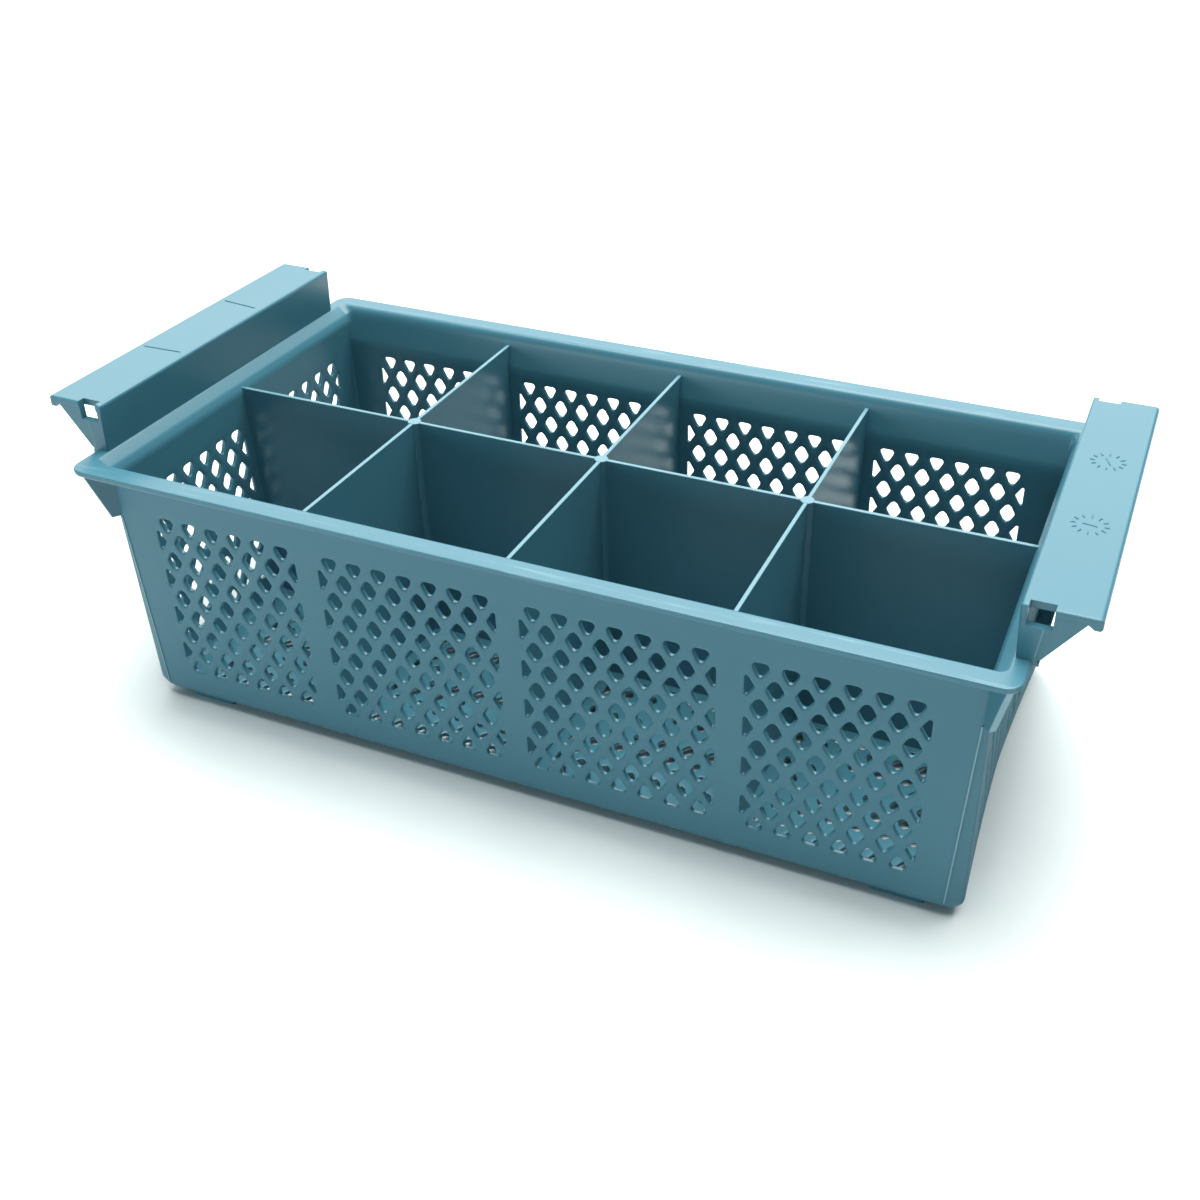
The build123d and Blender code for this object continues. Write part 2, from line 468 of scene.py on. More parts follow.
@dataclass(frozen=True)
class BodyForm:
    """Outer form of the body: drafted walls, drawn-in ends and corners whose radius shrinks upwards."""

    base_under: float = 3.0
    wall: float = 2.2
    floor: float = 2.4
    side_foot: float = 87.19
    side_draft: float = 0.01288
    end_foot: float = 183.8
    end_draft: float = -0.006
    corner_foot: float = 6.8
    corner_head: float = 2.4
    corner_head_height: float = 97.0
    tightest: float = 0.5
    base_round: float = 6.0
    floor_round: float = 3.0
    pinch: float = 4.0
    pinch_head: float = 116.0
    pinch_half: float = 82.0
    pinch_power: float = 1.5
    pinch_start: float = 160.0
    pinch_run: float = 16.0
    arc_steps: int = 7

    def side(self, height: Array | float) -> Array | float:
        """Return the long walls' outer distance from the middle at a height."""
        return self.side_foot + self.side_draft * height

    def end(self, height: Array | float) -> Array | float:
        """Return the end walls' outer distance from the middle at a height."""
        return self.end_foot + self.end_draft * height

    def corner(self, height: Array) -> Array:
        """Return the outer corner radius at a height."""
        span = [self.base_under, self.corner_head_height]
        return np.interp(height, span, [self.corner_foot, self.corner_head])

    def pinched(self, points: Array) -> Array:
        """Draw the lower middle of both ends inwards, fading out at the corners and at the rim.

        Args:
            points: Points of the straight form, points by three.

        Returns:
            The moved points.
        """
        lower = np.clip((self.pinch_head - points[:, 2]) / (self.pinch_head - self.base_under), 0, 1)
        middle = 1 - np.clip(np.abs(points[:, 1]) / self.pinch_half, 0, 1) ** self.pinch_power
        ends = np.clip((np.abs(points[:, 0]) - self.pinch_start) / self.pinch_run, 0, 1)
        move = np.sign(points[:, 0]) * self.pinch * lower * middle * ends
        return points - move[:, None] * [1, 0, 0]

    def wall_place(self, wall: Side) -> Place:
        """Return how places on a wall become points: along it, up it, and in from its outer face.

        Args:
            wall: Which wall.

        Returns:
            A function of three arrays.
        """
        along, out = (np.array([*direction, 0.0]) for direction in wall.value)
        distance = self.side if wall.is_long else self.end

        def place(across: Array, up: Array, deep: Array) -> Array:
            """Work out the points of one wall."""
            flat = across[..., None] * along + (distance(up) - deep)[..., None] * out
            return flat + up[..., None] * np.array([0.0, 0.0, 1.0])

        return place


@dataclass(frozen=True)
class LoopLines:
    """Columns of every level ring round the body: wall lines, and arcs at the four corners.

    A corner may pass from an arc into a facet, which is given by shares of the corner's radius.
    """

    across: Array
    along_end: Array
    arc_steps: int
    facet_at: tuple[float, ...] = (0, 0.5, 0.67, 0.83, 1)
    facet_out: tuple[float, ...] = (0, 0.87, 0.97, 1, 1)
    facet_over: tuple[float, ...] = (1, 0.68, 0.54, 0.34, 0)

    def ring(self, end: Array, side: Array, corner: Array, facet: Array, side_height: Array,
             end_height: Array) -> Array:
        """Return rounded rectangles, one a row, whose height passes from side to end round the corners.

        Args:
            end: Half length of each row.
            side: Half depth of each row.
            corner: Corner radius of each row.
            facet: How far each row's corners pass from an arc to a facet, from 0 to 1.
            side_height: Height of each row along the long sides.
            end_height: Height of each row along the ends.

        Returns:
            Rows by columns by three, the left way round from the front's left end.
        """
        end, side, corner, facet = (row[:, None] for row in (end, side, corner, facet))
        share = np.linspace(0, 1, self.arc_steps)
        arc = share * np.pi / 2
        out = np.sin(arc) * (1 - facet) + np.interp(share, self.facet_at, self.facet_out) * facet
        over = np.cos(arc) * (1 - facet) + np.interp(share, self.facet_at, self.facet_over) * facet
        out, over = corner * out, corner * over
        ease = share * share * (3 - 2 * share)
        ones_across, ones_end = np.ones_like(self.across)[None], np.ones_like(self.along_end)[None]
        across, along_end = self.across[None], self.along_end[None]
        wide, deep = end - corner, side - corner
        columns_x = [
            across + 0 * end, wide + out, end * ones_end, wide + out[:, ::-1],
            -across + 0 * end, -wide - out, -end * ones_end, -wide - out[:, ::-1],
        ]
        columns_y = [
            -side * ones_across, -deep - over, along_end + 0 * end, deep + over[:, ::-1],
            side * ones_across, deep + over, -along_end + 0 * end, -deep - over[:, ::-1],
        ]
        long_share, end_share = np.zeros(len(self.across)), np.ones(len(self.along_end))
        blend = np.concatenate([long_share, ease, end_share, ease[::-1]] * 2)[None]
        height = side_height[:, None] * (1 - blend) + end_height[:, None] * blend
        plan = [np.concatenate(columns, axis=1) for columns in (columns_x, columns_y)]
        return np.stack([*plan, height], axis=-1)

    def corner_columns(self) -> list[Array]:
        """Return the columns of each corner, with the last line of one wall and the first of the next.

        Returns:
            Column numbers, for each of the four corners.
        """
        counts = [len(self.across), self.arc_steps, len(self.along_end), self.arc_steps] * 2
        starts = np.cumsum([0, *counts])
        total = starts[-1]
        return [np.arange(starts[k] - 1, starts[k + 1] + 1) % total for k in range(1, len(counts), 2)]


@dataclass(frozen=True)
class RimForm:
    """Section of the rim along the long sides and along the ends."""

    half_length: float = 192.5
    half_depth: float = 100.6
    top: float = 120.8
    thickness: float = 2.4
    corner: float = 6.6
    edge: float = 0.6
    roll_start: float = 92.6
    roll_foot: Pair = (89.0, 115.9)
    flare_foot: float = 104.0
    cove: float = 6.8
    slope_foot: Pair = (181.6, 116.3)
    slope_head: Pair = (186.8, 120.8)
    slope_shares: Pair = (0.1, 0.25)
    slope_lead: float = 0.5
    slope_ease: float = 1.4
    slope_drop: float = 1.0
    wedge_past: float = 2.4
    corner_from: float = 110.0
    mouth_corner: float = 2.2
    roll_corner: float = 3.8
    cove_steps: int = 5
    roll_steps: int = 6
    flare_steps: int = 6
    tolerance: float = 0.01

    def outer_lip(self, reach: float) -> Array:
        """Return the flange's underside edge, lip and top edge, out to a reach from the middle.

        Args:
            reach: The lip's distance from the middle.

        Returns:
            Points as distance from the middle and height.
        """
        under, edge = self.top - self.thickness, self.edge
        turn = np.radians([-90, -45, 0])
        low = np.stack([reach - edge * (1 - np.cos(turn)), under + edge * (1 + np.sin(turn))], axis=-1)
        turn = np.radians([0, 45, 90])
        high = np.stack([reach - edge * (1 - np.cos(turn)), self.top - edge * (1 - np.sin(turn))], axis=-1)
        return np.concatenate([low, high])

    def side_section(self, body: BodyForm, foot: float) -> Array:
        """Return the section of a long side, up the outside, over the rim and down the inside.

        The outside runs up into a quarter cove under the flange. The inside falls from the flat top over a
        small roll and then along a straight flare down to the wall.

        Args:
            body: Form of the walls.
            foot: Height where the section starts and ends.

        Returns:
            Points as distance from the middle and height.
        """
        under = self.top - self.thickness
        start = float(body.side(under - self.cove))
        turn = np.radians(np.linspace(0, 90, self.cove_steps))
        cove = self.cove * np.stack([1 - np.cos(turn), np.sin(turn) - 1], axis=-1) + [start, under]
        inner = float(body.side(self.flare_foot)) - body.wall
        foot_point, head_point = np.array([inner, self.flare_foot]), np.array(self.roll_foot)
        slant = (head_point - foot_point) / (head_point[1] - foot_point[1])
        meeting = head_point + slant * (self.top - head_point[1])
        roll = eased(np.array([self.roll_start, self.top]), meeting, head_point, self.roll_steps)
        flare = head_point + (foot_point - head_point) * np.linspace(0, 1, self.flare_steps + 1)[1:, None]
        first, last = [[body.side(foot), foot]], [[body.side(foot) - body.wall, foot]]
        return np.concatenate([first, cove, self.outer_lip(self.half_depth), roll, flare, last])

    def end_section(self, body: BodyForm, foot: float) -> Array:
        """Return the section of an end, point for point like a long side's, with a sloping strip inside.

        Args:
            body: Form of the walls.
            foot: Height where the section starts and ends.

        Returns:
            Points as distance from the middle and height.
        """
        under = self.top - self.thickness
        wedge_foot = under - self.cove
        share = np.linspace(0, 1, self.cove_steps)[:, None]
        wedge_start = np.array([body.end(wedge_foot), wedge_foot])
        wedge = wedge_start + ([self.slope_head[0] + self.wedge_past, under] - wedge_start) * share
        head, low = np.array(self.slope_head), np.array(self.slope_foot)
        into_top, into_wall = head + [self.slope_lead, 0], low - [0, self.slope_ease]
        (past_head, near_foot), half = self.slope_shares, self.roll_steps // 2
        slope = np.concatenate([
            eased(into_top, head, head + (low - head) * past_head, half),
            eased(low + (head - low) * near_foot, low, into_wall, half),
        ])
        down = np.linspace(into_wall[1] - self.slope_drop, self.flare_foot, self.flare_steps)
        inner = np.stack([np.asarray(body.end(down)) - body.wall, down], axis=-1)
        first, last = [[body.end(foot), foot]], [[body.end(foot) - body.wall, foot]]
        return np.concatenate([first, wedge, self.outer_lip(self.half_length), slope, inner, last])

    def corners(self, body: BodyForm, side_section: Array) -> tuple[Array, Array]:
        """Return the corners' plan radius, and their share of facet, for each point of the section.

        Args:
            body: Form of the walls.
            side_section: Section of a long side.

        Returns:
            Radius and share, point by point.
        """
        reach, height = side_section.T
        share = np.interp(reach, [body.side(self.corner_from), self.half_depth], [0, 1])
        outside = body.corner_head + (self.corner - body.corner_head) * share
        on_top = np.interp(reach, [self.roll_start, self.half_depth], [self.roll_corner, self.corner])
        tight = max(float(body.corner(height[-1])) - body.wall, body.tightest)
        below = np.interp(height, [self.flare_foot, self.roll_foot[1], self.top],
                          [tight, self.mouth_corner, self.roll_corner])
        inside = np.where(reach > self.roll_start - self.tolerance, on_top, below)
        passed = np.arange(len(reach)) > np.argmax(reach)
        return np.where(passed, inside, outside), np.where(passed, 0, 1 - share)


@dataclass
class Shell:
    """The four pierced walls, the corners between them, the base's rounded edges and the rim.

    A panel of a wall's mesh is its middle along the wall and its columns.
    """

    body: BodyForm
    rim: RimForm
    long_panels: tuple[tuple[float, int], ...] = ((-130.0, 6), (-44.96, 7), (44.96, 7), (130.0, 6))
    end_panels: tuple[tuple[float, int], ...] = ((-39.4, 6), (39.4, 6))
    long_pitch: float = 11.306
    end_pitch: float = 11.333
    row: float = 9.624
    mesh_foot: float = 19.5
    mesh_steps: int = 8

    def __post_init__(self) -> None:
        """Lay out the mesh of the walls, and the columns of every ring to suit."""
        rows, wall = (self.row, self.mesh_foot, self.mesh_steps), self.body.wall
        self.long_mesh = DiamondMesh(self.long_pitch, *rows, self.long_panels, wall)
        self.end_mesh = DiamondMesh(self.end_pitch, *rows, self.end_panels, wall)
        across, along_end = self.long_mesh.across_lines(), self.end_mesh.across_lines()
        self.lines = LoopLines(across, along_end, self.body.arc_steps)

    def level(self, height: Array, inset: Array, lines: LoopLines | None = None) -> Array:
        """Return rings round the body at heights, each inset from the outer face.

        Args:
            height: Height of each ring.
            inset: How far each ring lies inside the outer face.
            lines: The rings' columns, or nothing for the walls' own.

        Returns:
            Rings by columns by three.
        """
        body = self.body
        corner = np.maximum(body.corner(height) - inset, body.tightest)
        facet = np.clip(1 - inset / body.wall, 0, 1)
        end, side = body.end(height) - inset, body.side(height) - inset
        return (lines or self.lines).ring(end, side, corner, facet, height, height)

    def seam(self, lines: LoopLines | None = None) -> Array:
        """Return the two rings where the walls' rounded foot meets the base plate, the upper one first.

        Args:
            lines: The rings' columns, or nothing for the walls' own.

        Returns:
            Two rings by columns by three.
        """
        body = self.body
        height = np.array([body.base_under + body.floor, body.base_under])
        return self.level(height, np.array([body.wall + body.floor_round, body.base_round]), lines)

    def build(self) -> bpy.types.Object:
        """Make the piece.

        Returns:
            The piece.
        """
        sheet = Sheet()
        for wall in Side:
            (self.long_mesh if wall.is_long else self.end_mesh).build(sheet, self.body.wall_place(wall))
        self.add_corners(sheet)
        self.add_foot(sheet)
        self.add_rim(sheet)
        sheet.bend(self.body.pinched)
        return sheet.piece("basket_shell")

    def add_corners(self, sheet: Sheet) -> None:
        """Add the upright corners beside the pierced walls, outside and inside.

        Args:
            sheet: Where the faces go.
        """
        up = self.long_mesh.up_lines()
        outside = self.level(up, np.zeros_like(up))
        inside = self.level(up, np.full_like(up, self.body.wall))
        for columns in self.lines.corner_columns():
            sheet.grid(outside[:, columns])
            sheet.grid(inside[::-1, columns])

    def add_foot(self, sheet: Sheet) -> None:
        """Add the walls below the mesh: a quarter round into the base outside, a small one inside.

        Args:
            sheet: Where the faces go.
        """
        body, head = self.body, self.long_mesh.up_lines()[0]
        turn = np.radians(np.linspace(90, 0, body.arc_steps))
        height = np.append(body.base_under + body.base_round * (1 - np.sin(turn)), head)
        inset = np.append(body.base_round * (1 - np.cos(turn)), 0.0)
        sheet.grid(self.level(height, inset), closed=True)
        turn = turn[::-1]
        floor_top = body.base_under + body.floor
        height = np.append(head, floor_top + body.floor_round * (1 - np.sin(turn)))
        inset = np.append(0.0, body.floor_round * (1 - np.cos(turn))) + body.wall
        sheet.grid(self.level(height, inset), closed=True)
        sheet.grid(self.seam(), closed=True)

    def add_rim(self, sheet: Sheet) -> None:
        """Add the walls above the mesh and the rim, in one sweep from outside to inside.

        Args:
            sheet: Where the faces go.
        """
        foot = self.long_mesh.up_lines()[-1]
        side = self.rim.side_section(self.body, foot)
        end = self.rim.end_section(self.body, foot)
        corner, facet = self.rim.corners(self.body, side)
        sheet.grid(self.lines.ring(end[:, 0], side[:, 0], corner, facet, side[:, 1], end[:, 1]), closed=True)


@dataclass
class BasePlate:
    """The floor of the basket: eight panels of smaller diamonds in a plain plate, in two halves."""

    shell: Shell
    row: float = 8.5
    half_feet: Pair = (-73.4, 5.4)
    hole: Pair = (6.6, 9.8)

    def __post_init__(self) -> None:
        """Lay out the floor's mesh under the columns of the long walls' mesh."""
        width, height = self.hole
        walls, floor = self.shell.long_mesh, self.shell.body.floor
        self.halves = [
            replace(walls, row=self.row, foot=foot, thickness=floor, hole_width=width, hole_height=height)
            for foot in self.half_feet
        ]

    def place(self, across: Array, up: Array, deep: Array) -> Array:
        """Return points of the plate, which looks down, for places across it and towards the front."""
        return np.stack([across, -up, self.shell.body.base_under + deep], axis=-1)

    def build(self) -> bpy.types.Object:
        """Make the piece.

        Returns:
            The piece.
        """
        sheet = Sheet()
        for half in self.halves:
            half.build(sheet, self.place)
        across, deep = self.halves[0].across_lines(), [half.up_lines() for half in self.halves]
        self.halves[0].plain(sheet, self.place, across, np.array([deep[0][-1], deep[1][0]]))
        self.add_border(sheet, across, np.concatenate(deep))
        sheet.bend(self.shell.body.pinched)
        return sheet.piece("basket_base")

    def add_border(self, sheet: Sheet, across: Array, deep: Array) -> None:
        """Add the plain border between the panels and the rounded foot of the walls, and its upright edge.

        Args:
            sheet: Where the faces go.
            across: Lines across the plate that the panels end on.
            deep: Lines towards the back that the panels end on.
        """
        outer = self.shell.seam(LoopLines(across, deep, self.shell.body.arc_steps))
        reach = [across[-1], deep[-1]]
        inner = outer.copy()
        inner[..., :2] = np.clip(inner[..., :2], np.negative(reach), reach)
        sheet.grid(np.stack([outer[0], inner[0]]), closed=True)
        sheet.grid(np.stack([inner[1], outer[1], outer[0]]), closed=True)


@dataclass(frozen=True)
class Dividers:
    """One long divider and three cross dividers, with an eight-sided post where they cross.

    The cross dividers' ends follow the flare of the long walls, by their half length at three heights.
    """

    shell: Shell
    thickness: float = 1.8
    sunk: float = 0.6
    heights: tuple[float, ...] = (106.0, 111.0, 115.3)
    reach: tuple[float, ...] = (86.0, 87.6, 89.2)
    pitch: float = 90.3
    post: float = 5.8
    post_sides: int = 8
    post_rise: float = 0.15
    edge: float = 0.35

    def add_slab(self, sheet: Sheet, half: Array, heights: Array, middle: float, along_x: bool) -> None:
        """Add an upright slab whose half length follows a list of heights.

        Args:
            sheet: Where the faces go.
            half: Half length at each height.
            heights: Heights from floor to top.
            middle: Place of the slab across its length.
            along_x: Whether it runs along X.
        """
        along, up = np.concatenate([-half[::-1], half]), np.concatenate([heights[::-1], heights])
        first = self.thickness / 2 if along_x else -self.thickness / 2
        ends = []
        for offset in (first, -first):
            plan = [along, np.full(len(along), middle + offset)]
            ends.append(np.stack([*(plan if along_x else plan[::-1]), up], axis=-1))
        sheet.prism(*ends)

    def add_post(self, sheet: Sheet, middle: float, floor: float) -> None:
        """Add the post at a crossing: a regular prism with flats square to the dividers.

        Args:
            sheet: Where the faces go.
            middle: The crossing's place along X.
            floor: Height of the post's foot.
        """
        step = math.pi / self.post_sides
        turn = step * (2 * np.arange(self.post_sides) + 1)
        flat = self.post / 2 / math.cos(step) * np.stack([np.cos(turn), np.sin(turn), 0 * turn], axis=-1)
        top = self.heights[-1] + self.post_rise
        sheet.prism(flat + [middle, 0, floor], flat + [middle, 0, top])

    def build(self) -> bpy.types.Object:
        """Make the piece.

        Returns:
            The piece.
        """
        body, sheet = self.shell.body, Sheet()
        floor = body.base_under + body.floor - self.sunk
        heights, into_wall = np.array([floor, *self.heights]), body.wall / 2
        self.add_slab(sheet, body.end(heights) - into_wall, heights, 0.0, True)
        half = np.append(body.side(floor) - into_wall, self.reach)
        for middle in (-self.pitch, 0.0, self.pitch):
            self.add_slab(sheet, half, heights, middle, False)
            self.add_post(sheet, middle, floor)
        sheet.bend(body.pinched)
        return sheet.piece("basket_dividers", bevel=self.edge)


@dataclass(frozen=True)
class Handle:
    """One grip: a leaning wall on the rim, a plate with a turned-down edge, and two notched end plates.

    Outlines are X and Z of the right handle, the left way round seen from the front. Spans are Y at its
    back end.
    """

    hand: Hand
    rim_top: float = 120.8
    top: float = 142.0
    plate: float = 2.8
    wall: float = 2.6
    wall_ease: float = 1.5
    ease_steps: int = 4
    inner: float = 186.0
    foot_inner: float = 187.2
    outer: float = 212.5
    half_width: float = 82.2
    corner: float = 1.3
    edge: float = 1.7
    edge_steps: int = 5
    end_edge: float = 0.9
    end_rows: tuple[float, ...] = (0.0, 0.12, 0.45, 0.8)
    bevel: float = 0.3
    ledge: float = 194.8
    ledge_drop: Pair = (2.2, 0.2)
    nib: float = 5.5
    nib_drop: float = 2.0
    nib_chamfer: float = 0.7
    brace: Outline = ((187.5, 119.6), (192.1, 119.6), (195.2, 121.7), (208.2, 139.6), (186.3, 139.6))
    brace_span: Pair = (79.0, 81.85)
    step: Outline = ((187.4, 119.6), (194.6, 119.6), (193.3, 123.6), (194.5, 135.0), (186.7, 135.0))
    step_span: Pair = (81.2, 82.2)
    notch: Outline = ((188.6, 133.9), (197.2, 133.9), (197.2, 143.0), (188.6, 143.0))
    notch_span: Pair = (78.6, 83.2)

    def bar(self, outline: Outline, span: Pair, end: int) -> Sheet:
        """Return a bar along Y.

        Args:
            outline: Its outline.
            span: Where it starts and ends.
            end: 1 for the back end, -1 for the front end.

        Returns:
            A sheet that holds the bar alone.
        """
        sheet, low_high = Sheet(), sorted(end * place for place in span)
        sheet.prism(*(np.insert(np.array(outline), 1, place, axis=1) for place in low_high[::-1]))
        return sheet

    def section(self) -> Array:
        """Return the grip's section as X and Z: ledge, leaning wall, plate and turned-down edge.

        Returns:
            Points the left way round, seen from the front.
        """
        low, high = (self.rim_top - drop for drop in self.ledge_drop)
        under, edge, ease, cut = self.top - self.plate, self.edge, self.wall_ease, self.nib_chamfer
        lip, drop = self.outer - self.nib, under - self.nib_drop
        lean = (self.foot_inner - self.inner) / (self.top - low)
        foot = [[self.foot_inner, low], [self.ledge, low], [self.ledge, high],
                [self.foot_inner + self.wall, high]]
        inside = np.array([self.inner + self.wall, under])
        nib = [[lip, under], [lip + self.nib / 2, drop], [self.outer - cut, drop], [self.outer, drop + cut]]
        far, near = np.array([self.outer, self.top]), np.array([self.inner, self.top])
        return np.concatenate([
            foot, eased(inside - [0, ease], inside, inside + [ease, 0], self.ease_steps), nib,
            eased(far - [0, edge], far, far - [edge, 0], self.edge_steps),
            eased(near + [edge, 0], near, near + [lean * edge, -edge], self.edge_steps),
        ])

    def grip(self) -> Sheet:
        """Return the grip without its end plates: the section carried along Y, drawn in at both ends.

        Near an end the section shrinks along a quarter circle, and the plate's outer corners follow another.

        Returns:
            A sheet that holds the grip alone.
        """
        section, edge, corner = self.section(), self.end_edge, self.corner
        deep = np.array([*self.end_rows, edge, corner])
        inset = edge - np.sqrt(np.clip(edge ** 2 - (edge - deep) ** 2, 0, None))
        inset = np.where(deep < edge, inset, 0.0)
        limit = self.outer - corner + np.sqrt(corner ** 2 - (corner - deep) ** 2)
        flat = section[None] - inset[:, None, None] * outward(section)[None]
        flat[..., 0] = np.minimum(flat[..., 0], limit[:, None])
        flat = np.concatenate([flat, flat[::-1]])
        place = np.concatenate([self.half_width - deep, deep[::-1] - self.half_width])
        place = np.broadcast_to(place[:, None], flat.shape[:2])
        sheet = Sheet()
        sheet.loft(np.stack([flat[..., 0], place, flat[..., 1]], axis=-1))
        return sheet

    def helpers(self) -> list[tuple[Joining, Sheet]]:
        """Return the bars that are joined to the grip, and after them the notches that are cut from it.

        Returns:
            What each does, and its form.
        """
        bars = ((self.brace, self.brace_span), (self.step, self.step_span))
        joined = [(Joining.JOINED, self.bar(*bar, end)) for end in (-1, 1) for bar in bars]
        return joined + [(Joining.CUT, self.bar(self.notch, self.notch_span, end)) for end in (-1, 1)]

    def build(self) -> bpy.types.Object:
        """Make the piece: the bars joined, the notches cut, and the whole mirrored for the left side.

        Returns:
            The piece.
        """
        scraps = [self.grip().piece("grip_form")]
        scraps[0].modifiers.clear()
        for number, (joining, sheet) in enumerate(self.helpers()):
            scraps.append(sheet.piece(f"grip_helper_{number}"))
            scraps[-1].modifiers.clear()
            step = scraps[0].modifiers.new(joining.name.lower(), "BOOLEAN")
            step.operation, step.object, step.solver = joining.value, scraps[-1], "EXACT"
        whole = scraps[0].evaluated_get(bpy.context.evaluated_depsgraph_get())
        shape = bpy.data.meshes.new_from_object(whole)
        points = np.empty(len(shape.vertices) * 3)
        shape.vertices.foreach_get("co", points)
        sheet = Sheet()
        sheet.add(
            points.reshape(-1, 3) / MM * [self.hand.value, 1, 1],
            [np.array([list(face.vertices)[:: self.hand.value]]) for face in shape.polygons],
        )
        for scrap in scraps:
            bpy.data.objects.remove(scrap)
        bpy.data.meshes.remove(shape)
        return sheet.piece(f"basket_handle_{self.hand.name.lower()}", bevel=self.bevel)


@dataclass(frozen=True)
class GripRelief:
    """Low relief on the grips' plates: two fine lines on the left one, two plain dials on the right one.

    A mark is its middle in X and Y and its direction in degrees.
    """

    foot: float = 141.8
    head: float = 142.25
    lines: tuple[Triple, ...] = ((-199.3, -26.6, 2.2), (-199.3, 28.9, -6.7))
    line_span: Pair = (-9.3, 9.3)
    line_width: float = 0.3
    dials: tuple[Triple, ...] = ((199.2, 26.1, -68.0), (199.5, -23.7, -9.0))
    ticks: int = 12
    tick_span: Pair = (5.0, 6.7)
    tick_width: float = 0.45
    pointer_span: Pair = (-2.7, 2.7)
    pointer_width: float = 0.55

    def add_bar(self, sheet: Sheet, middle: Pair, turn: float, span: Pair, width: float) -> None:
        """Add a low bar that points away from a middle.

        Args:
            sheet: Where the faces go.
            middle: The place it points away from.
            turn: Its direction in plan, in degrees.
            span: Where it starts and ends, from the middle.
            width: Its width.
        """
        start, end, half = *span, width / 2
        flat = np.array([[start, -half], [end, -half], [end, half], [start, half]])
        cos, sin = math.cos(math.radians(turn)), math.sin(math.radians(turn))
        ring = flat @ np.array([[cos, sin], [-sin, cos]]) + middle
        sheet.prism(*(np.insert(ring, 2, height, axis=1) for height in (self.foot, self.head)))

    def build(self) -> bpy.types.Object:
        """Make the piece with the lines and both dials.

        Returns:
            The piece.
        """
        sheet = Sheet()
        for across, deep, turn in self.lines:
            self.add_bar(sheet, (across, deep), turn, self.line_span, self.line_width)
        for across, deep, pointer in self.dials:
            for turn in np.arange(self.ticks) * 360 / self.ticks:
                self.add_bar(sheet, (across, deep), turn, self.tick_span, self.tick_width)
            self.add_bar(sheet, (across, deep), pointer, self.pointer_span, self.pointer_width)
        return sheet.piece("basket_grip_relief")


@dataclass(frozen=True)
class CornerWebs:
    """The slanting web under each corner of the rim, and the fine ridge that runs down from it."""

    shell: Shell
    thickness: float = 2.6
    foot: float = 95.0
    foot_width: float = 2.8
    head_width: float = 4.5
    inner_head: Pair = (0.6, 111.0)
    buried: float = 1.2
    lap: float = 0.4
    corner_inset: float = 3.2
    ridge_foot: Pair = (177.0, 8.0)
    ridge_head: Pair = (180.9, 94.6)
    ridge_radius: float = 0.5
    ridge_sunk: float = 0.1
    ridge_points: int = 7
    edge: float = 0.15

    def add_web(self, sheet: Sheet) -> None:
        """Add the web at +X +Y: an upright plate along the diagonal, with a slanting outer edge.

        Args:
            sheet: Where the faces go.
        """
        body, rim = self.shell.body, self.shell.rim
        start = np.array([body.end(self.foot), body.side(self.foot)]) - self.buried
        tip = np.array([rim.half_length, rim.half_depth]) - self.corner_inset
        reach = float(np.linalg.norm(tip - start))
        along = (tip - start) / reach
        across = np.array([-along[1], along[0]]) * self.thickness / 2
        under = rim.top - rim.thickness + self.lap
        outline = np.array([
            [0, self.foot], [self.buried * math.sqrt(2) + self.foot_width, self.foot], [reach, under],
            [reach - self.head_width, under], self.inner_head,
        ])
        flat = start + outline[:, :1] * along
        sheet.prism(*(np.hstack([flat + offset, outline[:, 1:]]) for offset in (across, -across)))

    def add_ridge(self, sheet: Sheet) -> None:
        """Add the ridge at +X +Y: half a round rod down the long wall's edge.

        Args:
            sheet: Where the faces go.
        """
        turn = np.linspace(0, np.pi, self.ridge_points)
        rod = self.ridge_radius * np.stack([np.cos(turn), np.sin(turn), 0 * turn], axis=-1)
        sheet.prism(*(
            rod + [across, self.shell.body.side(height) - self.ridge_sunk, height]
            for across, height in (self.ridge_foot, self.ridge_head)
        ))

    def build(self) -> bpy.types.Object:
        """Make the piece with all four webs and their ridges.

        Returns:
            The piece.
        """
        sheet, corner = Sheet(), Sheet()
        self.add_web(corner)
        self.add_ridge(corner)
        sheet.at_corners(corner)
        return sheet.piece("basket_corner_webs", bevel=self.edge)


@dataclass(frozen=True)
class Feet:
    """Four low oblong feet under the corners of the base."""

    middle: Pair = (158.0, 78.45)
    size: Pair = (22.0, 8.5)
    height: float = 3.4
    corner: float = 1.2
    arc_steps: int = 4
    edge: float = 0.3

    def build(self) -> bpy.types.Object:
        """Make the piece with all four feet.

        Returns:
            The piece.
        """
        corners = np.array([[1, -1], [1, 1], [-1, 1], [-1, -1]]) * np.array(self.size) / 2
        ring = rounded(corners, self.corner, self.arc_steps) + self.middle
        sheet, foot = Sheet(), Sheet()
        foot.prism(*(np.insert(ring, 2, height, axis=1) for height in (0.0, self.height)))
        sheet.at_corners(foot)
        return sheet.piece("basket_feet", bevel=self.edge)


